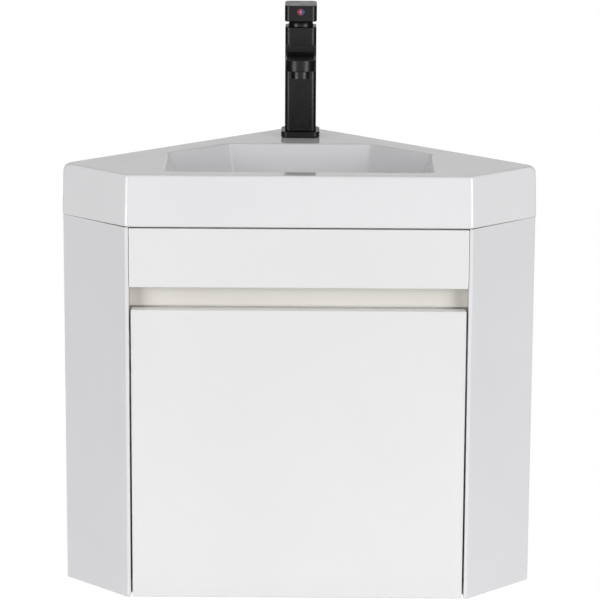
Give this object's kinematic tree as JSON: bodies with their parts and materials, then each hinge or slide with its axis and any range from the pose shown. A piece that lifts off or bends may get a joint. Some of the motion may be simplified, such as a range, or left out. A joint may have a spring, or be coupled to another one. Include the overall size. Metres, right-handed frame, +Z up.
{
  "type": "corner vanity unit",
  "caption": "Wall-hung corner vanity: five-sided cabinet with one concealed-hinge door and shelf, cast basin with press-down waste, and single-lever mixer tap.",
  "frame": {"origin": "under the middle of the whole outline, at the height of the cabinet's underside", "axes": "+Z up, the door faces -Y, the room corner lies at +Y, +X to the right of someone facing the door"},
  "size_m": [0.5662, 0.3634, 0.6835],
  "materials": {
    "carcass": "white lacquered board, satin",
    "front": "white lacquered board, gloss",
    "raw_wood": "beech dowel",
    "fitting_steel": "zinc or nickel plated",
    "bumper": "clear soft plastic",
    "basin": "cast mineral basin with gloss gelcoat",
    "waste_chrome": "polished chrome plate",
    "seal_rubber": "matt black rubber",
    "white_plastic": "moulded plastic",
    "tap_black": "satin black coating on brass",
    "brass": "turned brass",
    "cartridge_plastic": "moulded plastic",
    "red_mark": "red and blue insert"
  },
  "bodies": {
    "cabinet": {"side_panel_left": "carcass", "side_panel_right": "carcass", "bottom_panel": "carcass", "corner_post": "carcass", "hanging_rail_left": "carcass", "hanging_rail_right": "carcass", "lower_back_left": "carcass", "lower_back_right": "carcass", "pull_rail": "carcass", "fascia": "front", "fascia_screws": "fitting_steel", "rail_brackets": "fitting_steel", "bracket_screws": "fitting_steel", "shelf": "carcass", "shelf_pins": "fitting_steel", "cam_locks": "fitting_steel", "cam_bolts": "fitting_steel", "dowels": "raw_wood", "door_bumpers": "bumper", "hinge_arm_lower": "fitting_steel", "hinge_arm_upper": "fitting_steel", "hinge_plate_lower": "fitting_steel", "hinge_plate_upper": "fitting_steel", "hinge_plate_screws": "fitting_steel", "basin": "basin", "waste_body": "waste_chrome", "waste_seal": "seal_rubber", "waste_washer": "seal_rubber", "waste_nut": "white_plastic", "waste_guide": "white_plastic", "tap_gasket": "seal_rubber", "tap_base": "tap_black", "tap_body": "tap_black", "tap_stud": "fitting_steel", "tap_seal_ring": "seal_rubber", "tap_clamp": "fitting_steel", "tap_nut": "brass", "aerator_ring": "tap_black", "aerator_insert": "white_plastic", "cartridge": "cartridge_plastic", "cartridge_nut": "brass", "neck_cap": "tap_black"},
    "door": {"door": "front", "hinge_cup_lower": "fitting_steel", "hinge_cup_upper": "fitting_steel", "hinge_cup_screws": "fitting_steel"},
    "hinge_links": {"hinge_link_lower": "fitting_steel", "hinge_link_upper": "fitting_steel"},
    "tap_spindle": {"cartridge_carrier": "cartridge_plastic"},
    "tap_lever": {"lever": "tap_black", "cartridge_stem": "fitting_steel", "lever_grub_screw": "fitting_steel", "temperature_dot": "red_mark"},
    "plug": {"waste_plug": "waste_chrome"}
  },
  "joints": [
    {"name": "hinge_link_turn", "type": "hinge", "parent": "cabinet", "child": "hinge_links", "pos_m": [-0.15555, -0.15117, 0.088], "axis": [0, 0, -1], "range_deg": [-43.7, 0]},
    {"name": "door_turn", "type": "hinge", "parent": "hinge_links", "child": "door", "pos_m": [-0.18315, -0.16527, 0.088], "axis": [0, 0, -1], "range_deg": [0, 138.7]},
    {"name": "lever_turn", "type": "hinge", "parent": "cabinet", "child": "tap_spindle", "pos_m": [0, 0.10467, 0.6555], "axis": [0, 0, 1], "range_deg": [-45, 45]},
    {"name": "lever_lift", "type": "hinge", "parent": "tap_spindle", "child": "tap_lever", "pos_m": [0, 0.10467, 0.6555], "axis": [-1, 0, 0], "range_deg": [0, 20]},
    {"name": "plug_slide", "type": "slide", "parent": "cabinet", "child": "plug", "axis": [0, 0, 1], "range_m": [0, 0.009]}
  ],
  "couplings": [
    {"joint": "hinge_link_turn", "follows": "door_turn", "ratio": -0.31507}
  ]
}
